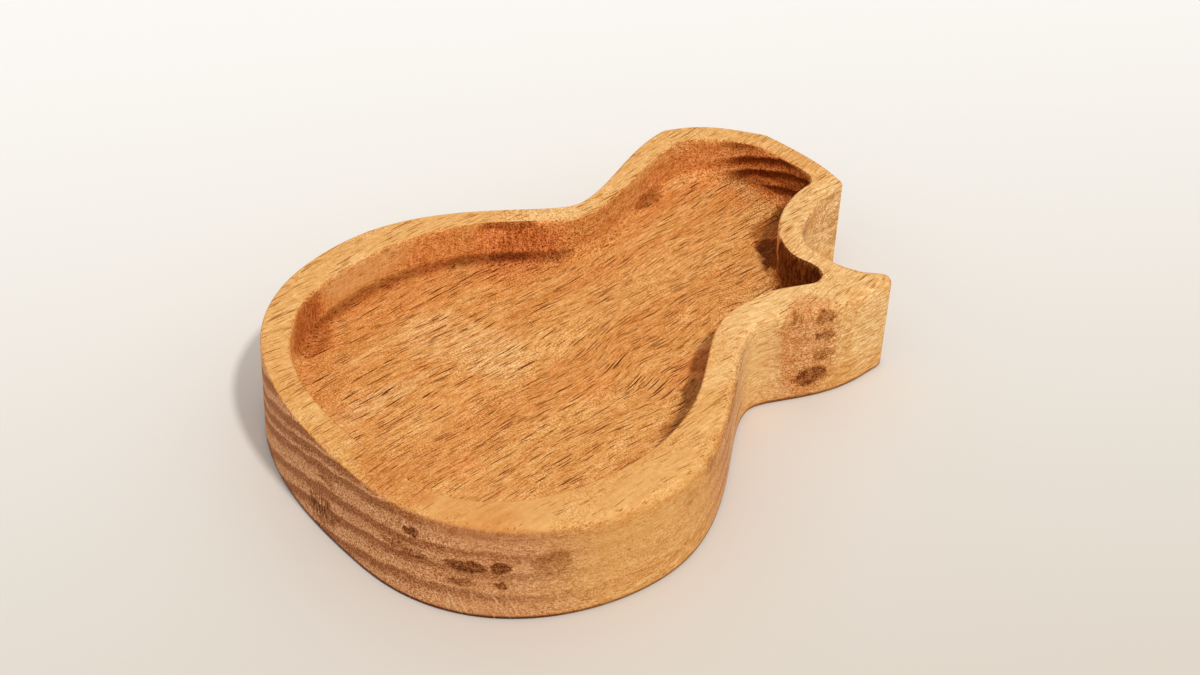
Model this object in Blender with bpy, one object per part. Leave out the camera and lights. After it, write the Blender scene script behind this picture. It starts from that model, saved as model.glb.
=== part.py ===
# Guitar pick tray: one hardwood board, sawn to the outline of a single-cutaway guitar body and
# hollowed by a router with a round-nosed bit. Y runs from the butt to the neck end, X points to
# the treble side, and the tray stands on Z = 0 with the middle of its footprint at the origin.

import math
from collections import namedtuple

import bmesh
import bpy
from mathutils import Vector
from mathutils.geometry import interpolate_bezier

# Overall sizes of the board, in metres
BODY_LENGTH = 0.1144
BODY_WIDTH = 0.0810
BOARD_THICKNESS = 0.0190

# The routed pocket: its depth, the cove that the bit's round nose leaves, and the small flat
# in the middle of that nose
POCKET_DEPTH = 0.0082
COVE_RADIUS = 0.0024
BIT_FLAT_RADIUS = 0.0002

# Rim left round the pocket, measured square to the outline at the knot each is named after
BUTT_RIM = 0.0055
TREBLE_BOUT_RIM = 0.0087
TREBLE_WAIST_RIM = 0.0056
HORN_RIM = 0.0070
CUTAWAY_RIM = 0.0044
NECK_RIM = 0.0042
SHOULDER_RIM = 0.0042
BASS_UPPER_RIM = 0.0046
BASS_WAIST_RIM = 0.0039
BASS_BOUT_RIM = 0.0060

# Radii of the body's corners, seen from above, and of the pocket's own bend at the shoulder
HORN_TIP_RADIUS = 0.0020
CUTAWAY_CORNER_RADIUS = 0.0015
SHOULDER_RADIUS = 0.0040
POCKET_SHOULDER_RADIUS = 0.0100

# Radii that sandpaper leaves on the edges. The rim's outer edge is sanded softest along the
# treble side, from the bout to the horn.
RIM_EASE_RADIUS = 0.0005
TREBLE_EASE_RADIUS = 0.0018
FOOT_EASE_RADIUS = 0.0005
POCKET_EASE_RADIUS = 0.0004

# How far the pocket's cutter stands above the rim
OVERRUN = 0.0020

# The longest facet in a stretch of outline, and how many make up each rounded corner, each eased
# edge and the cove
FACET_LENGTH = 0.0016
CORNER_STEPS = 6
EASE_STEPS = 3
COVE_STEPS = 6

WOOD_COLOUR = (0.58, 0.33, 0.14, 1.0)
WOOD_ROUGHNESS = 0.55
SHARPEST_SMOOTH_ANGLE = math.radians(40)

# The body's knots, counter-clockwise from the butt. Each row holds the place across and along as
# shares of half the width and half the length, the headings in and out in degrees (0 is toward
# the treble side, 90 toward the neck), and the reach of the two curve handles as shares of the
# stretch that each one bends.
BODY_KNOT_SHARES = {
    "butt": (0.198, -1.0, 0, 0, 0.28, 0.45),
    "treble_bout": (1.0, -0.385, 90, 90, 0.34, 0.42),
    "treble_waist": (0.523, 0.287, 90, 90, 0.18, 0.18),
    "horn_side": (0.686, 0.647, 90, 90, 0.46, 0.33),
    "horn_tip": (0.709, 0.822, 82, 226, 0.33, 0.36),
    "cutaway": (0.306, 0.668, 180, 180, 0.36, 0.20),
    "cutaway_corner": (0.094, 0.983, 88, 171, 0.50, 0.33),
    "neck_end": (-0.086, 1.0, 180, 180, 0.33, 0.33),
    "bass_shoulder": (-0.393, 0.983, 188, 213, 0.33, 0.42),
    "bass_upper": (-0.716, 0.747, 246, 272, 0.41, 0.34),
    "bass_waist": (-0.558, 0.288, 270, 270, 0.27, 0.15),
    "bass_bout": (-1.0, -0.388, 270, 270, 0.46, 0.56),
}
BODY_CORNER_RADII = {
    "horn_tip": HORN_TIP_RADIUS,
    "cutaway_corner": CUTAWAY_CORNER_RADIUS,
    "bass_shoulder": SHOULDER_RADIUS,
    "bass_upper": SHOULDER_RADIUS,
}
BODY_EASE_RADII = {
    "treble_bout": TREBLE_EASE_RADIUS,
    "treble_waist": TREBLE_EASE_RADIUS,
    "horn_side": TREBLE_EASE_RADIUS,
}

# The pocket's knots follow the body's at these rims. The horn itself stays solid, so the pocket
# turns back in a corner of its own there, and in another under the neck end.
POCKET_RIMS = {
    "butt": BUTT_RIM,
    "treble_bout": TREBLE_BOUT_RIM,
    "treble_waist": TREBLE_WAIST_RIM,
    "cutaway": CUTAWAY_RIM,
    "bass_shoulder": SHOULDER_RIM,
    "bass_upper": BASS_UPPER_RIM,
    "bass_waist": BASS_WAIST_RIM,
    "bass_bout": BASS_BOUT_RIM,
}
POCKET_CURVE_SHARES = {
    "butt": (0.26, 0.56),
    "treble_bout": (0.18, 0.53),
    "treble_waist": (0.27, 0.50),
    "horn_corner": (0.45, 0.33),
    "cutaway": (0.20, 0.31),
    "neck_corner": (0.35, 0.33),
    "bass_shoulder": (0.33, 0.38),
    "bass_upper": (0.38, 0.22),
    "bass_waist": (0.12, 0.24),
    "bass_bout": (0.56, 0.62),
}
POCKET_SHOULDER_RADII = {
    "bass_shoulder": POCKET_SHOULDER_RADIUS,
    "bass_upper": SHOULDER_RADIUS,
}

# Headings in and out of those two corners, in degrees
POCKET_CORNER_ANGLES = {
    "horn_corner": (62, 166),
    "neck_corner": (90, 180),
}

Knot = namedtuple("Knot", "place heading_in heading_out reach_in reach_out radius ease")


def direction(heading):
    return Vector((math.cos(heading), math.sin(heading)))


def body_knots():
    knots = {}
    for name, row in BODY_KNOT_SHARES.items():
        across, along, heading_in, heading_out, reach_in, reach_out = row
        place = Vector((across * BODY_WIDTH / 2, along * BODY_LENGTH / 2))
        headings = math.radians(heading_in), math.radians(heading_out)
        radius = BODY_CORNER_RADII.get(name, 0)
        ease = BODY_EASE_RADII.get(name, RIM_EASE_RADIUS)
        knots[name] = Knot(place, *headings, reach_in, reach_out, radius, ease)
    return knots


def knot_inside(knot, rim, reaches, radius):
    # The place one rim width inside the body, square to the outline on both sides of the knot
    side_in = direction(knot.heading_in + math.pi / 2)
    side_out = direction(knot.heading_out + math.pi / 2)
    step = (side_in + side_out) * rim / (1 + side_in.dot(side_out))
    headings = knot.heading_in, knot.heading_out
    return Knot(knot.place + step, *headings, *reaches, radius, POCKET_EASE_RADIUS)


def pocket_knots(body):
    bit_radius = COVE_RADIUS + BIT_FLAT_RADIUS
    horn_side, cutaway = body["horn_side"].place, body["cutaway"].place
    neck_side, neck_end = body["cutaway_corner"].place, body["neck_end"].place
    corners = {
        "horn_corner": Vector((horn_side.x - HORN_RIM, cutaway.y - CUTAWAY_RIM)),
        "neck_corner": Vector((neck_side.x - NECK_RIM, neck_end.y - NECK_RIM)),
    }
    knots = {}
    for name, reaches in POCKET_CURVE_SHARES.items():
        if name in corners:
            headings = [math.radians(angle) for angle in POCKET_CORNER_ANGLES[name]]
            knots[name] = Knot(corners[name], *headings, *reaches, bit_radius, POCKET_EASE_RADIUS)
        else:
            radius = POCKET_SHOULDER_RADII.get(name, 0)
            knots[name] = knot_inside(body[name], POCKET_RIMS[name], reaches, radius)
    return knots


def round_corner(knot):
    # Two smooth knots at the ends of the arc that replaces a corner
    turn = abs((knot.heading_out - knot.heading_in + math.pi) % math.tau - math.pi)
    trim = knot.radius * math.tan(turn / 2)
    reach = math.tan(turn / 4) / math.sin(turn / 2) * 2 / 3
    start = knot.place - direction(knot.heading_in) * trim
    end = knot.place + direction(knot.heading_out) * trim
    return [
        knot._replace(place=start, heading_out=knot.heading_in, reach_out=reach),
        knot._replace(place=end, heading_in=knot.heading_out, reach_in=reach, radius=0),
    ]


def outline(knots):
    # A closed run of points through the knots, with corners rounded to their radius, and the
    # radius of the eased edge at each point
    smooth = []
    for knot in knots.values():
        smooth += round_corner(knot) if knot.radius else [knot]
    points = []
    eases = []
    for knot, following in zip(smooth, smooth[1:] + smooth[:1]):
        length = (following.place - knot.place).length
        leave = knot.place + direction(knot.heading_out) * knot.reach_out * length
        arrive = following.place - direction(following.heading_in) * following.reach_in * length
        steps = CORNER_STEPS if knot.radius else math.ceil(length / FACET_LENGTH)
        stretch = interpolate_bezier(knot.place, leave, arrive, following.place, steps + 1)
        points += [Vector(point[:2]) for point in stretch[:-1]]
        eases += [knot.ease + (following.ease - knot.ease) * step / steps for step in range(steps)]
    return points, eases


def sideways(points):
    # At each point, the step that moves the outline inward by one unit
    steps = []
    for before, point, after in zip(points[-1:] + points[:-1], points, points[1:] + points[:1]):
        side_in = (point - before).orthogonal().normalized()
        side_out = (after - point).orthogonal().normalized()
        steps.append((side_in + side_out) / (1 + side_in.dot(side_out)))
    return steps


def quarter_round(radius, steps):
    # Points of a quarter circle as pairs: how far in from the wall, how far short of its end
    for step in range(steps + 1):
        angle = math.pi / 2 * step / steps
        yield radius * (1 - math.cos(angle)), radius * (1 - math.sin(angle))


def profiled_solid(name, points, eases, profile):
    # A closed solid with the profile carried round the outline. The profile gives pairs of inset
    # and height for the eased edge at hand.
    mesh = bmesh.new()
    columns = []
    for point, side, ease in zip(points, sideways(points), eases):
        columns.append([mesh.verts.new((*(point + side * inset), height))
                        for inset, height in profile(ease)])
    rings = list(zip(*columns))
    mesh.faces.new(reversed(rings[0]))
    mesh.faces.new(rings[-1])
    for lower, upper in zip(rings, rings[1:]):
        for index in range(len(lower)):
            mesh.faces.new((lower[index - 1], lower[index], upper[index], upper[index - 1]))
    data = bpy.data.meshes.new(name)
    mesh.to_mesh(data)
    mesh.free()
    solid = bpy.data.objects.new(name, data)
    bpy.context.scene.collection.objects.link(solid)
    return solid


def board_profile(ease):
    # From the foot's eased edge up the wall to the rim's eased edge
    foot = list(quarter_round(FOOT_EASE_RADIUS, EASE_STEPS))
    rim = [(inset, BOARD_THICKNESS - drop) for inset, drop in quarter_round(ease, EASE_STEPS)]
    return foot[::-1] + rim


def pocket_profile(ease):
    # From the floor up the cove and the wall, then out over the eased edge and past the rim
    floor = BOARD_THICKNESS - POCKET_DEPTH
    cove = [(inset, floor + rise) for inset, rise in quarter_round(COVE_RADIUS, COVE_STEPS)]
    edge = [(-inset, BOARD_THICKNESS - drop) for inset, drop in quarter_round(ease, EASE_STEPS)]
    return cove[::-1] + edge + [(-ease, BOARD_THICKNESS + OVERRUN)]


def hardwood():
    material = bpy.data.materials.new("hardwood")
    material.use_nodes = True
    shader = material.node_tree.nodes["Principled BSDF"]
    shader.inputs["Base Color"].default_value = WOOD_COLOUR
    shader.inputs["Roughness"].default_value = WOOD_ROUGHNESS
    shader.inputs["Metallic"].default_value = 0
    return material


def tray_body():
    body = body_knots()
    board = profiled_solid("tray_body", *outline(body), board_profile)
    cutter = profiled_solid("pocket_cutter", *outline(pocket_knots(body)), pocket_profile)
    cutter.hide_render = True
    cutter.display_type = "WIRE"
    routing = board.modifiers.new("pocket", "BOOLEAN")
    routing.operation = "DIFFERENCE"
    routing.solver = "EXACT"
    routing.object = cutter
    board.data.materials.append(hardwood())
    board.data.shade_smooth()
    board.data.set_sharp_from_angle(angle=SHARPEST_SMOOTH_ANGLE)


def main():
    for leftover in list(bpy.data.objects):
        bpy.data.objects.remove(leftover)
    tray_body()


main()
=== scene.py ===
import math

import bmesh
import bpy
from mathutils import Matrix, Vector


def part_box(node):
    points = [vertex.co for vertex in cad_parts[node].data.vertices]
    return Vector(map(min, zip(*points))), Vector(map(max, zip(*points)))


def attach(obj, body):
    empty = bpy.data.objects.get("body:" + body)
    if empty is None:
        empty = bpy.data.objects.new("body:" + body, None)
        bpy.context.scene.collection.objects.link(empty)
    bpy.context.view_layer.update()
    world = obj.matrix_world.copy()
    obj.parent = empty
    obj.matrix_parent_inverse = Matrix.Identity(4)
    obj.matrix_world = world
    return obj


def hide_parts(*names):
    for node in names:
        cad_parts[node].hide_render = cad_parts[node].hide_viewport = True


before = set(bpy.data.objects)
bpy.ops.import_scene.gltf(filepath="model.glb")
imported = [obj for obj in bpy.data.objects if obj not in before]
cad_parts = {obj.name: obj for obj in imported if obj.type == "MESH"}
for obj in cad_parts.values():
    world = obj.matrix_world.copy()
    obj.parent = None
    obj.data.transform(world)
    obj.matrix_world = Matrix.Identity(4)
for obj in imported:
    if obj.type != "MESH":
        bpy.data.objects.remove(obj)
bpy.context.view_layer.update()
scene = bpy.context.scene

mmPerMetre = 1000.0


# Camera: off the treble side of the butt, looking down 40 degrees

cameraSettings = {
    "place": (0.2266, -0.2238, 0.2788),
    "aim": (-0.0094, 0.0098, 0.0),
    "roll": 2.87,  # degrees
    "lens": 74.04,  # mm
    "sensor": 36.0,
    "nearest": 0.01,
    "farthest": 20,
}


def makeCamera(settings):
    place = Vector(settings["place"])
    forward = (Vector(settings["aim"]) - place).normalized()
    right = forward.cross(Vector((0, 0, 1))).normalized()
    up = right.cross(forward)
    roll = math.radians(settings["roll"])
    tiltedRight = right * math.cos(roll) + up * math.sin(roll)
    tiltedUp = up * math.cos(roll) - right * math.sin(roll)
    lens = bpy.data.cameras.new("photographer")
    lens.lens = settings["lens"]
    lens.sensor_width = settings["sensor"]
    lens.clip_start = settings["nearest"]
    lens.clip_end = settings["farthest"]
    camera = bpy.data.objects.new("photographer", lens)
    scene.collection.objects.link(camera)
    turn = Matrix((tiltedRight, tiltedUp, -forward)).transposed()
    camera.matrix_world = Matrix.Translation(place) @ turn.to_4x4()
    scene.camera = camera


makeCamera(cameraSettings)
print("camera placed")


# Shader maths: a wire is one value on its way through a material

class Wire:
    def __init__(self, finish, socket):
        self.finish = finish
        self.socket = socket

    def maths(self, operation, *values):
        settings = {"operation": operation}
        return self.finish.node("ShaderNodeMath", settings, dict(enumerate(values)))

    def __add__(self, other):
        return self.maths("ADD", self, other)

    def __sub__(self, other):
        return self.maths("SUBTRACT", self, other)

    def __rsub__(self, other):
        return self.maths("SUBTRACT", other, self)

    def __mul__(self, other):
        return self.maths("MULTIPLY", self, other)

    def __truediv__(self, other):
        return self.maths("DIVIDE", self, other)

    def __pow__(self, other):
        return self.maths("POWER", self, other)

    def __abs__(self):
        return self.maths("ABSOLUTE", self)

    __radd__ = __add__
    __rmul__ = __mul__

    def larger(self, other):
        return self.maths("MAXIMUM", self, other)

    def beside(self, output):  # another output of the same node
        return Wire(self.finish, self.socket.node.outputs[output])


class Finish:  # one material and the nodes in it
    def __init__(self, name):
        self.material = bpy.data.materials.new(name)
        self.material.use_nodes = True
        self.tree = self.material.node_tree
        self.shader = self.tree.nodes["Principled BSDF"]

    def node(self, kind, settings=None, values=None, output=0):
        made = self.tree.nodes.new(kind)
        for name, setting in (settings or {}).items():
            if name == "stops":
                ramp = made.color_ramp.elements
                while len(ramp) < len(setting):
                    ramp.new(1)
                for element, (place, colour) in zip(ramp, setting):
                    element.position = place
                    element.color = (*colour, 1)
            else:
                setattr(made, name, setting)
        for name, value in (values or {}).items():
            self.join(made.inputs[name], value)
        return Wire(self, made.outputs[output])

    def join(self, socket, value):
        if isinstance(value, Wire):
            self.tree.links.new(value.socket, socket)
        else:
            socket.default_value = (*value, 1) if socket.type == "RGBA" else value

    def feed(self, name, value):
        self.join(self.shader.inputs[name], value)

    def vector(self, operation, *values, output="Vector"):
        settings = {"operation": operation}
        return self.node("ShaderNodeVectorMath", settings, dict(enumerate(values)), output)

    def together(self, *numbers):  # up to three numbers as one vector
        return self.node("ShaderNodeCombineXYZ", {}, dict(enumerate(numbers)))

    def parts(self, vector):  # its three numbers, each as a wire
        split = self.node("ShaderNodeSeparateXYZ", {}, {0: vector})
        return [split.beside(axis) for axis in "XYZ"]

    def stretched(self, place, scale, shift=(0, 0, 0)):
        values = {"Vector": place, "Location": shift, "Scale": scale}
        return self.node("ShaderNodeMapping", {}, values)

    def noise(self, place, scale=1.0, detail=2.0, roughness=0.5, output="Fac"):
        if isinstance(scale, tuple):  # a scale for each axis
            place, scale = self.stretched(place, scale), 1.0
        values = {"Vector": place, "Scale": scale, "Detail": detail, "Roughness": roughness}
        return self.node("ShaderNodeTexNoise", {}, values, output)

    def ease(self, value, low, high):  # 0 below low, 1 above high and smooth between
        values = {"Value": value, "From Min": low, "From Max": high}
        return self.node("ShaderNodeMapRange", {"interpolation_type": "SMOOTHSTEP"}, values)

    def mixed(self, share, first, second, blend="MIX"):
        settings = {"data_type": "RGBA", "blend_type": blend, "clamp_factor": True}
        colours = {0: share, 6: first, 7: second}  # the sockets that the colour mix uses
        return self.node("ShaderNodeMix", settings, colours, output=2)

    def ramp(self, share, stops):
        return self.node("ShaderNodeValToRGB", {"stops": stops}, {"Fac": share})

    def patches(self, place, marks, core=0.5):  # 1 in the marks' cores, fading out at their edges
        found = None
        for middle, reach, strength in marks:
            scale = [1 / radius for radius in reach]
            shift = [-centre / radius for centre, radius in zip(middle, reach)]
            near = self.vector("MULTIPLY_ADD", place, scale, shift)
            far = self.vector("LENGTH", near, output="Value")
            mark = (1 - self.ease(far, core, 1.0)) * strength
            found = found.larger(mark) if found else mark
        return found


# The tray's shape: the board and the pocket grow from the CAD solid's own outlines

trayShape = {
    "wallCut": 0.0095,  # heights at which the two outlines are read
    "pocketCut": 0.0159,
    "sameWithin": 1e-6,  # points of the solid as near as this are one
    "cutWithin": 1e-5,
    "smoothRounds": 4,
    "smoothShare": 0.5,
    "wallSteps": 10,
    "footEase": 0.0005,
    "rimEase": 0.0005,
    "trebleEase": 0.0018,
    "trebleFrom": (0.004, 0.026),  # across the body, where the rim's edge turns soft
    "trebleEnds": (0.040, 0.0465),  # along the body, where it turns crisp again
    "easeRings": (0.03, 0.09, 0.19, 0.33, 0.5, 0.8, 1.25, 1.8),  # mm in from the wall
    "leastSpread": 0.1,  # of a wide ring's step, where the edge is crisp
    "footRings": (0.04, 0.12, 0.28, 0.5),  # mm in from the wall
    "pocketEase": 0.0004,
    "pocketRings": (0.15, 0.4, 0.7, 1.0),  # shares of that ease
    "pocketDepth": 0.0082,
    "cove": 0.0024,
    "coveSteps": 8,
}


def readOutline(solid, height, inner):
    # A bmesh with one flat face, cut out by the solid's outer or inner outline at that height
    section = bmesh.new()
    section.from_mesh(solid.data)
    bmesh.ops.remove_doubles(section, verts=section.verts, dist=trayShape["sameWithin"])
    everything = section.verts[:] + section.edges[:] + section.faces[:]
    bmesh.ops.bisect_plane(section, geom=everything, plane_co=(0, 0, height),
                           plane_no=(0, 0, 1), clear_inner=True, clear_outer=True)
    bmesh.ops.remove_doubles(section, verts=section.verts, dist=trayShape["cutWithin"])
    outer = {max(section.verts, key=lambda vert: vert.co.y)}  # the farthest point is on it
    edge = set(outer)
    while edge:
        edge = {line.other_vert(vert) for vert in edge for line in vert.link_edges} - outer
        outer |= edge
    spare = [vert for vert in section.verts if (vert in outer) == inner]
    bmesh.ops.delete(section, geom=spare, context="VERTS")
    bmesh.ops.edgeloop_fill(section, edges=section.edges)
    for _ in range(trayShape["smoothRounds"]):
        bmesh.ops.smooth_vert(section, verts=section.verts, factor=trayShape["smoothShare"],
                              use_axis_x=True, use_axis_y=True, use_axis_z=True)
    face = section.faces[:][0]
    if face.normal.z < 0:
        bmesh.ops.reverse_faces(section, faces=[face])
    return section, face


def softStep(value, low, high):
    share = min(max((value - low) / (high - low), 0), 1)
    return share * share * (3 - 2 * share)


def softnessAt(place):  # 1 along the treble side, where the rim's edge is rounded over more
    treble = softStep(place.x, *trayShape["trebleFrom"])
    return treble * (1 - softStep(place.y, *trayShape["trebleEnds"]))


def rimEaseAt(place):
    crisp, soft = trayShape["rimEase"], trayShape["trebleEase"]
    return crisp + (soft - crisp) * softnessAt(place)


def insetTo(mesh, face, before, now):
    bmesh.ops.inset_region(mesh, faces=[face], thickness=now - before, use_even_offset=True,
                           use_boundary=True)


def raised(mesh, face, keepBelow=False):
    grown = bmesh.ops.extrude_face_region(mesh, geom=[face])["geom"]
    if not keepBelow:
        bmesh.ops.delete(mesh, geom=[face], context="FACES_ONLY")
    return next(item for item in grown if isinstance(item, bmesh.types.BMFace))


def growBoard(solid, thickness):
    board, foot = readOutline(solid, trayShape["wallCut"], inner=False)
    top = foot
    low = trayShape["footEase"]
    for step in range(trayShape["wallSteps"] + 1):  # the wall, ring by ring
        if step:
            top = raised(board, top, keepBelow=step == 1)
        share = step / trayShape["wallSteps"]
        for vert in top.verts:
            high = thickness - rimEaseAt(vert.co)
            vert.co.z = low + (high - low) * share
    before = 0
    for ring in trayShape["easeRings"]:  # the rim's eased edge
        now = ring / mmPerMetre
        insetTo(board, top, before, now)
        before = now
        ringVerts = set(top.verts)
        for vert in top.verts:
            ease = rimEaseAt(vert.co)
            rest = max(ease - now, 0)
            vert.co.z = thickness - ease + math.sqrt(ease * ease - rest * rest)
            if now > trayShape["rimEase"]:  # the wide rings belong to the treble side alone
                beside = next(line.other_vert(vert) for line in vert.link_edges
                              if line.other_vert(vert) not in ringVerts)
                spread = max(softnessAt(vert.co), trayShape["leastSpread"])
                vert.co = beside.co.lerp(vert.co, spread)
    before = 0
    for ring in trayShape["footRings"]:  # the foot's eased edge
        now = ring / mmPerMetre
        insetTo(board, foot, before, now)
        before = now
        for vert in foot.verts:
            rest = max(low - now, 0)
            vert.co.z = low - math.sqrt(low * low - rest * rest)
    bmesh.ops.delete(board, geom=[top], context="FACES_ONLY")
    return board


def growPocket(solid, thickness):
    pocket, floor = readOutline(solid, trayShape["pocketCut"], inner=True)
    ease = trayShape["pocketEase"]
    insetTo(pocket, floor, 0, -ease)
    spare = [vert for vert in pocket.verts if floor not in vert.link_faces]
    bmesh.ops.delete(pocket, geom=spare, context="VERTS")
    for vert in floor.verts:
        vert.co.z = thickness
    before = 0
    for share in trayShape["pocketRings"]:  # the pocket's crisp edge
        now = ease * share
        insetTo(pocket, floor, before, now)
        before = now
        for vert in floor.verts:
            vert.co.z = thickness - ease + math.sqrt(max(ease * ease - now * now, 0))
    cove = trayShape["cove"]
    bottom = thickness - trayShape["pocketDepth"]
    for step in range(1, trayShape["wallSteps"] + 1):  # the upright wall
        floor = raised(pocket, floor)
        share = step / trayShape["wallSteps"]
        for vert in floor.verts:
            vert.co.z = thickness - ease + (bottom + cove - thickness + ease) * share
    before = 0
    for step in range(1, trayShape["coveSteps"] + 1):  # the cove that the bit's nose leaves
        angle = math.pi / 2 * step / trayShape["coveSteps"]
        now = cove * (1 - math.cos(angle))
        insetTo(pocket, floor, before, now)
        before = now
        for vert in floor.verts:
            vert.co.z = bottom + cove * (1 - math.sin(angle))
    return pocket


def makeTray(solid):
    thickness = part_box("tray_body")[1].z
    tray = growBoard(solid, thickness)
    pocket = growPocket(solid, thickness)
    tray.verts.layers.float.new("inPocket")
    share = pocket.verts.layers.float.new("inPocket")
    for vert in pocket.verts:
        vert[share] = 1 if vert.co.z < thickness - trayShape["sameWithin"] else 0
    for face in tray.faces[:] + pocket.faces[:]:
        face.smooth = True
    spare = bpy.data.meshes.new("spare")
    pocket.to_mesh(spare)
    pocket.free()
    tray.from_mesh(spare)
    bpy.data.meshes.remove(spare)
    openEdges = [edge for edge in tray.edges if edge.is_boundary]
    rim = bmesh.ops.triangle_fill(tray, use_beauty=True, edges=openEdges)["geom"]
    rimFaces = [item for item in rim if isinstance(item, bmesh.types.BMFace)]
    broadFaces = [face for face in tray.faces if len(face.verts) > 4]  # the foot and the floor
    for face in rimFaces + broadFaces:
        face.smooth = False
    bmesh.ops.triangulate(tray, faces=broadFaces)
    bmesh.ops.recalc_face_normals(tray, faces=tray.faces)
    mesh = bpy.data.meshes.new("carvedTray")
    tray.to_mesh(mesh)
    gaps = sum(edge.is_boundary for edge in tray.edges)
    print("tray faces", len(tray.faces), "open edges", gaps)
    tray.free()
    carved = bpy.data.objects.new("carvedTray", mesh)
    scene.collection.objects.link(carved)
    return carved


carvedTray = makeTray(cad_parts["tray_body"])
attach(carvedTray, "root")
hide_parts("tray_body")
print("tray carved")


# Wood: one board, seen on the rim, in the pocket, along the grain and across it. Lengths are in
# mm and scales are per mm. A range is where something starts and where it is whole. Noise runs
# from 0 to 1 about a middle of 0.5.

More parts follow.
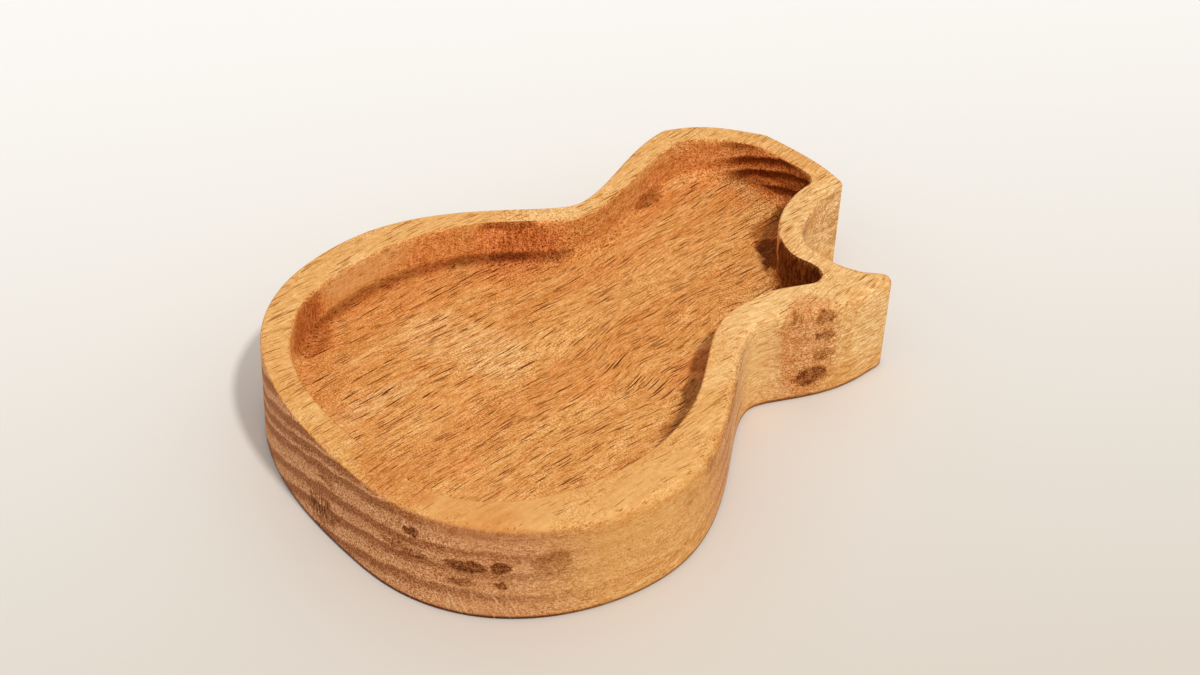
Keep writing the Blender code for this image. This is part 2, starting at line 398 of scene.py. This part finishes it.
woodLook = {
    "rimPale": (0.82, 0.457, 0.164),
    "rimWarm": (0.73, 0.350, 0.106),
    "floorPale": (0.775, 0.390, 0.121),
    "floorWarm": (0.675, 0.268, 0.068),
    "endPale": (0.74, 0.360, 0.160),
    "endDark": (0.385, 0.138, 0.045),
    "red": (0.78, 0.262, 0.070),
    "rubbed": (0.64, 0.240, 0.066),
    "cream": (0.91, 0.60, 0.272),
    "roughness": 0.58,
    "gloss": 0.05,

    "levelRange": (0.55, 0.95),  # how squarely a face looks up or down
    "endRange": (0.24, 0.66),  # how squarely it looks along the body, and so shows end grain
    "shake": (3.6, 3.6, 2.4),  # how far the marks' edges stray
    "grainDrift": 8.0,  # how far the grain strays across the body
    "grainSwell": 2.0,
    "grainWaver": 0.7,

    "ringsMiddle": (27.0, -95.0),  # across and up, where the growth rings have their middle
    "darkRings": (100.3, 104.9, 108.8, 113.4, 116.1, 118.8, 122.3),  # their radii
    "ringProfile": ((-1.7, 0.2), (-0.6, 0.9), (0.2, 1.0), (0.8, 0.0)),  # darkness on the way out
    "ringWaver": 2.2,
    "ringsStart": 98.0,  # the radius where the rings are first looked for, and how far on
    "ringsSpan": 28.0,

    "toneShares": (0.46, 0.40, 0.14),  # what figure, streaks and pale rings add to the tone
    "toneRange": (0.33, 0.73),
    "endBase": 0.38,  # the tone on end grain, and what each thing adds to it or takes
    "endRings": 0.58,
    "endBlotch": 0.24,
    "endSpeckle": 0.40,
    "endLayers": 0.42,
    "endToneRange": (0.36, 1.0),
    "layerScale": (0.22, 0.22, 2.4),  # across, along, and outward from the rings' middle
    "fadeRange": (8.0, 34.0),  # across the butt, where its rings fade
    "fade": 0.55,
    "fadeTone": 0.14,

    "strokesRange": (0.40, 0.60),  # upright strokes of the cutter
    "raggedRange": (0.36, 0.60),  # what breaks marks up
    "paleFibres": (0.35, 0.60),  # the fibres that pale patches and painted highlights show on
    "paleLeast": 0.4,  # how much they show between those
    "stainEven": 0.75,  # the share of a stain that isn't broken up
    "rubbedRagged": 0.45,  # how far the other marks are
    "specksRagged": 0.35,
    "darkMarkStrokes": 0.18,
    "broadCore": 0.7,  # share of a mark's reach that is whole
    "speckCore": 0.65,
    "coveBurnAndShade": (11.9, 0.2, 1.4),  # a dark line along the cove, partly burn and partly painted shade in the crease: its height, and where it fades above and below
    "footContactShadow": (0.45, 1.05),  # heights between which the painted contact shadow along the foot's edge fades
    "footShadowSides": 0.7,  # its strength off the end grain

    "poreLayers": (  # scales across and along, shift, width
        (2.1, 0.085, 0.0, 0.24),
        (2.7, 0.12, 40.0, 0.26),
        (3.8, 0.20, 90.0, 0.29),
    ),
    "plentyRange": (0.62, 0.38),  # pores crowd where the grain is dark
    "plenty": 0.3,
    "poresSmoothed": 0.8,  # how far smooth places lose them
    "poreRange": (0.09, 0.29),  # of a cell's chance to hold a pore
    "poreEdge": (0.65, 1.05),  # shares of a pore's reach, where its edge fades
    "poreSize": 0.55,  # the smallest pore beside the largest
    "leastReach": 0.001,  # keeps the reach above zero, because it divides
    "poresOnEnd": 0.85,  # how far end grain, the rim and the walls hide them
    "poresOnRim": 0.62,
    "poresOnWalls": 0.5,

    "roughRange": (0.48, 0.62),  # places that are a little rough anywhere on the tray
    "roughStipple": 0.45,
    "stippleRange": (0.38, 0.58),
    "stippleMiddle": 0.62,  # stipple darkens the wood below this and lightens it above
    "chatter": 0.25,  # the cutter's marks where the wall isn't stained
    "shade": 0.98,  # the wood's own shade, and how far each thing sways it
    "fibreShade": 1.25,
    "speckleShade": 0.45,
    "pocketSpeckle": 0.45,
    "smoothing": 0.7,  # how far smooth places and the rim calm fibre and speckle
    "rimCalm": 0.35,
    "blotchShade": 0.18,
    "strokeShade": 0.30,
    "chatterSpeckle": 0.25,
    "stippleShade": 0.32,
    "wallShade": 0.04,
    "poreShade": 0.88,
    # darkening covers burns, specks, and painted shade and shadow
    "darkening": 0.84,
    "shadePowers": (1.7, 3.0),  # green and blue darken faster than red
    "darkeningPowers": (1.4, 1.9),

    "scratchSlant": (0.73, 0.68, 0.45),  # across, along and up
    "scratchScale": (2.0, 0.28),  # across the scratches and up them
    "scratchRange": (0.58, 0.66),
    "relief": (0.7, 0.35, 0.25),  # pores, fibre and speckle
    "reliefStrength": 0.5,
    "reliefDepth": 0.00025,  # m

    "noises": {  # three scales are across, along and up
        "shake": {"scale": 0.55, "detail": 3.0, "roughness": 0.6},
        "drift": {"scale": (0.045, 0.028, 0.05), "detail": 1.0},
        "waver": {"scale": (0.20, 0.045, 0.20), "detail": 3.0, "roughness": 0.6},
        "figure": {"scale": (0.15, 0.030, 0.15), "detail": 3.0, "roughness": 0.6},
        "streaks": {"scale": (0.9, 0.08, 0.9), "detail": 3.0, "roughness": 0.6},
        "fibre": {"scale": (2.9, 0.42, 2.9), "detail": 3.0, "roughness": 0.7},
        "speckle": {"scale": 3.6, "detail": 1.0},
        "blotch": {"scale": 0.9, "detail": 2.0},
        "layers": {"detail": 2.0, "roughness": 0.6},
        "hatch": {"scale": (2.2, 2.2, 0.42), "detail": 3.0, "roughness": 0.7},
        "rough": {"scale": (0.16, 0.08, 0.16), "detail": 2.0},
        "scratches": {"detail": 1.0},
    },
    "marks": {  # each mark is its middle, its reach along each axis and its strength
        "swell": [  # where the grain bulges at the treble waist
            ((8, 12, 12), (18, 18, 14), 1.0),
        ],
        "red": [  # warm stains in the pocket, and a painted shadow beside the treble waist
            ((-25.5, 5.0, 15.0), (8, 15, 8), 0.85),
            ((-32.0, -9.0, 15.0), (4, 9, 6), 0.5),
            ((-31.0, -19.0, 11.0), (5, 16, 3), 0.3),
            ((-31.0, -37.0, 14.0), (6, 8, 7), 0.8),
            ((-21.0, 46.0, 15.5), (8, 9, 6), 0.45),
            ((-10.0, 53.0, 15.0), (12, 5, 8), 0.7),
            ((-23.5, 37.0, 15.0), (4, 8, 5), 0.35),
            ((-22.0, 33.0, 11.5), (3.5, 8, 3), 0.4),
            ((-14.0, 46.0, 10.8), (4, 3.5, 2), 0.25),
            ((-1.0, 45.0, 10.8), (5, 8, 2), 0.45),
            ((-3.0, -27.0, 10.8), (6, 10, 2), 0.2),
            ((10.0, -38.0, 10.8), (4, 4, 2), 0.3),
            ((8.0, -8.0, 10.8), (4, 6, 2), 0.25),
            # painted shadow: the crescent below the treble waist's wall, stained redder
            ((16.0, 16.0, 12.5), (5, 18, 6), 0.75),
            ((-8.0, 33.0, 10.8), (3, 7, 2), 0.2),
        ],
        "scorchAndShadow": [  # where the router burnt the pocket, and painted shadow in its shaded corners
            ((-2.0, 53.5, 14.5), (8.0, 5.0, 8), 0.62),
            ((-2.5, 50.5, 11.2), (4.5, 4.5, 3), 0.8),
            # partly burn, partly painted shadow: the wall and floor in the horn's corner
            ((12.5, 33.0, 16.5), (10, 4.5, 7), 1.04),
            ((2.6, 40.6, 11.5), (5.0, 3.8, 6), 0.99),
            ((5.8, 38.4, 11.5), (4.2, 3.6, 6), 1.0),
            ((10.0, 37.2, 11.5), (4.2, 3.2, 6), 0.95),
            # painted shadow: the floor beside the neck's bend, in the rim's shade
            ((-2.6, 45.5, 11.0), (3.4, 6.0, 4), 0.55),
            ((-28.6, -41.2, 12.6), (2.0, 1.6, 2.2), 0.35),
            ((-30.6, -39.0, 15.6), (2.0, 1.5, 2.4), 0.35),
            ((-32.6, -34.6, 17.6), (2.0, 2.2, 1.6), 0.30),
            ((-31.0, -38.0, 13.5), (4.5, 7, 7), 0.45),
            # painted shadow: the crescent of shadow on the floor below the treble waist's wall
            ((25.5, -3.0, 12.0), (4.0, 8, 6), 0.42),
            ((21.5, 5.0, 12.0), (4.5, 7, 6), 0.55),
            ((17.0, 12.0, 12.0), (4.5, 7, 6), 0.55),
            ((13.5, 18.0, 12.0), (3.5, 6, 6), 0.42),
            ((-26.3, 3.2, 18.4), (4, 8.5, 1.3), 0.6),
            ((-24.0, 6.0, 14.0), (5, 7, 5), 0.25),
            ((-22.2, 32.5, 11.8), (1.5, 4.5, 1.7), 0.6),
        ],
        "cove": [  # where the cove is dark along the foot of the wall: partly burn, partly painted shade in the crease
            ((-33.0, -22.0, 12.0), (6, 26, 8), 0.6),
            ((-29.0, -5.0, 12.0), (4.5, 8, 8), 0.7),
            ((-25.3, 2.5, 12.0), (4.5, 7.5, 8), 0.9),
            ((-22.5, 9.0, 12.0), (4.0, 8, 8), 0.7),
            ((-22.3, 33.0, 12.0), (2.5, 6, 8), 0.35),
            ((-13.0, 50.5, 12.0), (8, 5, 8), 0.65),
        ],
        "burntRings": [  # where the wall is burnt along its growth rings
            ((-9, 53, 15), (15, 10, 14), 1.0),
        ],
        "specks": [  # dark specks on the outer walls
            ((-0.8, -57.0, 12.8), (2.4, 2, 1.5), 0.5),
            ((18.3, -55.6, 14.9), (1.8, 2, 1.3), 0.9),
            ((16.8, -55.9, 10.6), (7, 2.5, 1.2), 0.6),
            ((25.8, -51.8, 10.8), (4.8, 3.5, 1.4), 0.95),
            ((30.1, -48.1, 11.1), (2.2, 2.4, 1.5), 1.0),
            ((25.4, -52.1, 7.3), (3.4, 2.5, 1.2), 0.7),
            ((30.2, -48.1, 7.4), (1.1, 1.4, 0.9), 0.9),
            ((35.0, -41.8, 12.0), (3.4, 4.0, 3.0), 0.42),
            ((38.4, -11.8, 16.2), (1.6, 3.2, 2.2), 0.30),
            ((40.0, -17.5, 14.2), (1.4, 2.6, 2.0), 0.22),
            ((25.6, 28.0, 17.4), (2, 2.2, 1.8), 0.58),
            ((26.0, 28.1, 13.4), (2, 2.2, 1.5), 0.64),
            ((26.1, 28.0, 9.3), (2, 2.2, 1.3), 0.58),
            ((22.8, 23.8, 17.6), (1.5, 2.2, 1.8), 0.45),
            ((25.3, 26.2, 4.8), (2.4, 4.2, 2.4), 0.85),
            ((3.8, 52.8, 18.0), (1.5, 2.2, 1.0), 0.35),
            ((3.8, 54.2, 12.3), (1.5, 2.6, 2.4), 0.25),
            ((3.7, 55.0, 7.4), (1.5, 2.6, 2.0), 0.3),
        ],
        "hatched": [  # upright dark strokes on the butt
            ((-2.6, -56.8, 5.3), (5.0, 3, 4.4), 0.9),
        ],
        "rubbed": [  # on the horn's side and on the rim of the butt
            ((24.6, 25.4, 12.0), (6, 6.4, 14), 0.85),
            ((11.0, -52.6, 19.2), (9, 5, 2), 0.75),
        ],
        "warmRim": [  # where the rim is as warm as the floor
            ((11.0, -52.5, 19.2), (11, 5.5, 2.4), 1.0),
            ((26.0, -49.0, 19.0), (12, 7, 2.6), 0.7),
        ],
        "cream": [  # pale, dry patches, and painted highlight on the treble waist
            ((-18.5, -20.0, 10.8), (8, 8, 2), 0.22),
            ((-10.0, -16.0, 10.8), (11, 7, 2), 0.32),
            ((-12.0, -38.0, 10.8), (3, 14, 2), 0.3),
            ((-34.4, -24.0, 16.8), (3, 11, 4), 0.3),
            ((-22.5, 41.5, 11.3), (3, 5, 1.3), 0.2),
            ((-16.0, 48.8, 11.2), (6, 2.5, 1.3), 0.2),
            ((-23.0, 10.0, 19.5), (5, 10, 2.0), 0.4),
            ((17.0, 40.0, 19.5), (16, 14, 2.0), 0.5),
            ((30.0, 38.0, 12.0), (7, 8, 14), 0.85),
            ((22.0, 22.0, 13.0), (12, 20, 15), 0.7),
            ((3.0, 55.0, 12.0), (5, 10, 12), 0.85),
            ((12.0, 46.5, 9.0), (14, 12, 9.8), 0.9),
            # painted highlight: the pale strip on the treble waist's outer wall
            ((28.0, 6.0, 9.5), (6, 16, 10), 0.45),
            ((34.0, -30.0, 8.0), (14, 24, 9.0), 0.15),
            ((4.0, 45.0, 19.5), (9, 10, 2.5), 0.6),
            # painted highlight: the band along the treble waist's rounded edge
            ((26.0, 8.0, 18.5), (3.0, 14, 3), 0.4),
        ],
        "smooth": [  # few pores show here
            ((27.0, -47.0, 19.0), (17, 13, 4), 1.0),
            ((30.0, -26.0, 19.0), (12, 16, 4), 0.8),
            ((20.0, 16.0, 19.0), (10, 30, 2.5), 0.5),
            ((36.0, -24.0, 12.0), (9, 22, 12), 0.8),
            ((-23.0, 10.0, 19.5), (5, 9, 2.5), 0.7),
            ((22.0, 12.0, 10.0), (8, 14, 12), 0.6),
            ((-33.0, -24.0, 15.5), (4, 12, 4), 0.9),
        ],
        "stipple": [  # rough to the touch, with a fine dark stipple
            ((5.0, -56.0, 9.0), (44, 7, 14), 1.0),
            ((14.0, -56.0, 18.2), (16, 2.5, 1.8), 0.5),
            ((-24.0, 6.0, 15.0), (10, 16, 8), 1.0),
            ((-8.0, 50.0, 14.0), (20, 8, 8), 1.0),
            ((24.6, 26.0, 11.0), (7, 8, 13), 0.6),
            ((12.0, 28.0, 10.8), (10, 12, 2), 0.7),
        ],
        "scratches": [  # near the foot of the butt
            ((28.0, -50.0, 2.9), (11, 11, 3.2), 0.5),
        ],
    },
}


def growthRings(wood, look, across, height, waver):
    middleAcross, middleUp = look["ringsMiddle"]
    start, span = look["ringsStart"], look["ringsSpan"]
    outward = across - middleAcross
    upward = height - middleUp
    radius = (outward ** 2.0 + upward ** 2.0) ** 0.5
    wavering = radius + (waver - 0.5) * look["ringWaver"]
    stops = [(0.0, (0, 0, 0))]
    for ring in look["darkRings"]:
        for step, darkness in look["ringProfile"]:
            stops.append(((ring - start + step) / span, (darkness, darkness, darkness)))
    return radius, wood.ramp((wavering - start) / span, stops)


def poreDashes(wood, look, grain, plenty, smooth):  # short dashes along the grain
    pores = None
    smallest = look["poreSize"]
    for acrossScale, alongScale, shift, width in look["poreLayers"]:
        scale = (acrossScale, alongScale, acrossScale)
        cells = wood.stretched(grain, scale, (shift, shift, 0))
        nearest = wood.node("ShaderNodeTexVoronoi", {}, {"Vector": cells, "Scale": 1.0})
        chance, size, _ = wood.parts(nearest.beside("Color"))
        chance = chance + plenty * look["plenty"] - smooth * look["poresSmoothed"]
        there = wood.ease(chance, *look["poreRange"])
        reach = (smallest + size * (1 - smallest)) * there * width
        dash = 1 - wood.ease(nearest / (reach + look["leastReach"]), *look["poreEdge"])
        pores = pores.larger(dash) if pores else dash
    return pores


def makeWood(look):
    noises, marks = look["noises"], look["marks"]
    wood = Finish("oiledHardwood")
    place = wood.node("ShaderNodeTexCoord", output="Object")
    _, facingY, facingZ = wood.parts(place.beside("Normal"))
    mm = wood.node("ShaderNodeVectorMath", {"operation": "SCALE"},
                   {"Vector": place, "Scale": mmPerMetre})
    across, along, height = wood.parts(mm)
    inPocket = wood.node("ShaderNodeAttribute", {"attribute_name": "inPocket"}, output="Fac")
    level = wood.ease(abs(facingZ), *look["levelRange"])
    endGrain = wood.ease(abs(facingY), *look["endRange"]) * (1 - level)

    # places that marks are looked up at, shaken so that the marks get ragged edges
    shake = wood.noise(mm, **noises["shake"], output="Color")
    halfShake = [-size / 2 for size in look["shake"]]
    shaken = wood.vector("ADD", mm, wood.vector("MULTIPLY_ADD", shake, look["shake"], halfShake))

    # the grain runs along the body, wanders a little and swells beside the treble waist
    drift = wood.noise(mm, **noises["drift"])
    swell = wood.patches(mm, marks["swell"])
    waver = wood.noise(mm, **noises["waver"])
    strayed = (drift - 0.5) * look["grainDrift"] + swell * look["grainSwell"]
    strayed = strayed + (waver - 0.5) * look["grainWaver"]
    grain = wood.vector("ADD", mm, wood.together(strayed))
    smooth = wood.patches(mm, marks["smooth"])
    ringRadius, rings = growthRings(wood, look, across, height, waver)

    figure = wood.noise(grain, **noises["figure"])
    streaks = wood.noise(grain, **noises["streaks"])
    fibre = wood.noise(grain, **noises["fibre"])
    speckle = wood.noise(mm, **noises["speckle"])
    blotch = wood.noise(mm, **noises["blotch"])

    # the bare wood, along the grain and then across it
    figureShare, streakShare, ringShare = look["toneShares"]
    tone = figure * figureShare + streaks * streakShare + (1 - rings) * ringShare
    tone = wood.ease(tone, *look["toneRange"])
    rimColour = wood.mixed(tone, look["rimWarm"], look["rimPale"])
    floorColour = wood.mixed(tone, look["floorWarm"], look["floorPale"])
    warm = inPocket.larger(wood.patches(shaken, marks["warmRim"]))
    colour = wood.mixed(warm, rimColour, floorColour)
    ringFade = wood.ease(across, *look["fadeRange"]) * look["fade"]
    acrossScale, alongScale, ringScale = look["layerScale"]
    layered = wood.together(across * acrossScale, along * alongScale, ringRadius * ringScale)
    layers = wood.noise(layered, **noises["layers"])
    endTone = look["endBase"] - rings * (1 - ringFade) * look["endRings"]
    endTone = endTone - ringFade * look["fadeTone"] + blotch * look["endBlotch"]
    endTone = endTone + speckle * look["endSpeckle"] + layers * look["endLayers"]
    endTone = wood.ease(endTone, *look["endToneRange"])
    endShare = endGrain * (1 - inPocket)
    endColour = wood.mixed(endTone, look["endDark"], look["endPale"])
    colour = wood.mixed(endShare, colour, endColour)

    # stains and pale patches, with painted shadow among the stains and painted highlight among
    # the pale patches
    strokes = wood.ease(wood.noise(mm, **noises["hatch"]), *look["strokesRange"])
    ragged = wood.ease(speckle * 0.5 + blotch * 0.5, *look["raggedRange"])
    outside = 1 - inPocket
    pocketWall = inPocket * (1 - level)
    least = look["paleLeast"]
    # pale patches, some of them painted highlight on the treble waist
    paleAndHighlit = wood.patches(shaken, marks["cream"])
    paleAndHighlit = paleAndHighlit * (least + wood.ease(fibre, *look["paleFibres"]) * (1 - least))
    colour = wood.mixed(paleAndHighlit, colour, look["cream"])
    # the red marks hold real stains and one painted shadow beside the treble waist
    stainsAndShadow = wood.patches(shaken, marks["red"]) * inPocket
    stainDepth = look["stainEven"] + ragged * (1 - look["stainEven"])
    colour = wood.mixed(stainsAndShadow * stainDepth, colour, look["red"])
    rubbed = wood.patches(shaken, marks["rubbed"], look["broadCore"])
    rubbed = rubbed * (1 - ragged * look["rubbedRagged"]) * outside
    colour = wood.mixed(rubbed, colour, look["rubbed"])

    # scorches and painted shadow in the pocket, the cove's line of burn and painted shade, specks
    # outside and the painted contact shadow along the foot's edge
    burnsAndShade = wood.patches(shaken, marks["scorchAndShadow"], look["broadCore"])
    burnsAndShade = burnsAndShade * (1 - strokes * look["darkMarkStrokes"])
    # the cove's dark line: partly burn, partly painted shade in the crease between wall and floor
    coveHeight, coveWhole, coveEnd = look["coveBurnAndShade"]
    coveBurnAndShade = 1 - wood.ease(abs(height - coveHeight), coveWhole, coveEnd)
    burnsAndShade = burnsAndShade.larger(coveBurnAndShade * wood.patches(shaken, marks["cove"]))
    burntRings = wood.patches(mm, marks["burntRings"])
    burnsAndShade = burnsAndShade.larger(rings * pocketWall * burntRings)
    specks = wood.patches(shaken, marks["specks"], look["speckCore"])
    specks = specks * (1 - ragged * look["specksRagged"])
    hatched = wood.patches(shaken, marks["hatched"]) * (1 - strokes) * endGrain
    specks = specks.larger(hatched)
    # painted contact shadow: the foot's edge darkened where it meets the table, added to the
    # specks
    sides = look["footShadowSides"]
    footContactShadow = (1 - wood.ease(height, *look["footContactShadow"])) * (sides + endShare * (1 - sides))
    specks = specks.larger(footContactShadow)
    dark = burnsAndShade * inPocket + specks * outside

    plenty = wood.ease(figure * 0.5 + streaks * 0.5, *look["plentyRange"])
    pores = poreDashes(wood, look, grain, plenty, smooth)
    onRim, onWalls = look["poresOnRim"], look["poresOnWalls"]
    pores = pores * (1 - endGrain * look["poresOnEnd"])
    pores = pores * (onRim + inPocket * (1 - onRim)) * (onWalls + level * (1 - onWalls))

    # fine fibre, speckle, stipple and the cutter's upright marks on the pocket wall
    rough = wood.ease(wood.noise(mm, **noises["rough"]), *look["roughRange"])
    stippled = (rough * look["roughStipple"]).larger(wood.patches(mm, marks["stipple"]))
    stipple = stippled * (wood.ease(speckle, *look["stippleRange"]) - look["stippleMiddle"])
    chatter = pocketWall * (look["chatter"] + stainsAndShadow * (1 - look["chatter"]))
    shade = (fibre - 0.5) * look["fibreShade"]
    shade = shade + (speckle - 0.5) * (look["speckleShade"] + inPocket * look["pocketSpeckle"])
    shade = shade * (1 - smooth * look["smoothing"]) * (1 - level * outside * look["rimCalm"])
    shade = look["shade"] + shade + (blotch - 0.5) * look["blotchShade"]
    cutting = (strokes - 0.5) * look["strokeShade"] + (speckle - 0.5) * look["chatterSpeckle"]
    shade = shade + cutting * chatter
    shade = shade + stipple * look["stippleShade"] - (1 - level) * outside * look["wallShade"]
    shade = shade * (1 - pores * look["poreShade"])
    darkening = 1 - dark * look["darkening"]
    greenShade, blueShade = look["shadePowers"]
    greenDarkening, blueDarkening = look["darkeningPowers"]
    tint = wood.together(shade * darkening, shade ** greenShade * darkening ** greenDarkening,
                         shade ** blueShade * darkening ** blueDarkening)
    colour = wood.mixed(1.0, colour, tint, blend="MULTIPLY")

    # short pale scratches near the foot of the butt
    slantAcross, slantAlong, slantUp = look["scratchSlant"]
    slantScale, lengthScale = look["scratchScale"]
    slant = (across * slantAcross + along * slantAlong + height * slantUp) * slantScale
    scratches = wood.noise(wood.together(slant, height * lengthScale), **noises["scratches"])
    scratches = wood.ease(scratches, *look["scratchRange"])
    scratches = scratches * wood.patches(shaken, marks["scratches"]) * outside
    colour = wood.mixed(scratches, colour, look["cream"])

    wood.feed("Base Color", colour)
    wood.feed("Roughness", look["roughness"])
    wood.feed("Specular IOR Level", look["gloss"])
    poreRelief, fibreRelief, speckleRelief = look["relief"]
    relief = (1 - pores) * poreRelief + fibre * fibreRelief + speckle * speckleRelief
    wood.feed("Normal", wood.node("ShaderNodeBump", {}, {
        "Height": relief, "Strength": look["reliefStrength"], "Distance": look["reliefDepth"]}))
    return wood.material


carvedTray.data.materials.append(makeWood(woodLook))
print("wood finished")


# Table, lamp and room

tableSettings = {
    "size": 3.0,
    # painted shade: the table's colour darkens from far to near, standing in for light falling
    # off towards the camera
    "far": (0.905, 0.898, 0.877),
    "near": (0.655, 0.597, 0.517),
    "towardFar": (-0.855, 0.519, 0.0),
    "fadeRange": (-0.15, 0.15),  # m, from near to far
    "roughness": 0.8,
}
lampSettings = {
    "toward": (0.513, -0.068, 0.856),
    "angle": 5.0,  # degrees, how wide the lamp looks from the tray
    "strength": 1.48,
    "colour": (1.0, 0.975, 0.94),
    "room": (1.0, 0.985, 0.965),
    "roomStrength": 0.68,
}


def makeTable(settings):
    shape = bmesh.new()
    bmesh.ops.create_grid(shape, x_segments=1, y_segments=1, size=settings["size"] / 2)
    mesh = bpy.data.meshes.new("table")
    shape.to_mesh(mesh)
    shape.free()
    table = bpy.data.objects.new("table", mesh)
    scene.collection.objects.link(table)
    paint = Finish("paleTable")
    place = paint.node("ShaderNodeTexCoord", output="Object")
    # painted shade: darker towards the camera
    away = paint.vector("DOT_PRODUCT", place, settings["towardFar"], output="Value")
    share = paint.ease(away, *settings["fadeRange"])
    paint.feed("Base Color", paint.mixed(share, settings["near"], settings["far"]))
    paint.feed("Roughness", settings["roughness"])
    mesh.materials.append(paint.material)


def makeLight(settings):
    lamp = bpy.data.lights.new("window", "SUN")
    lamp.angle = math.radians(settings["angle"])
    lamp.energy = settings["strength"]
    lamp.color = settings["colour"]
    lit = bpy.data.objects.new("window", lamp)
    scene.collection.objects.link(lit)
    toward = Vector(settings["toward"])
    lit.matrix_world = toward.to_track_quat("Z", "Y").to_matrix().to_4x4()
    room = bpy.data.worlds.new("room")
    room.use_nodes = True
    background = room.node_tree.nodes["Background"]
    background.inputs["Color"].default_value = (*settings["room"], 1)
    background.inputs["Strength"].default_value = settings["roomStrength"]
    scene.world = room


makeTable(tableSettings)
makeLight(lampSettings)
scene.view_settings.view_transform = "Standard"
print("table and light set")
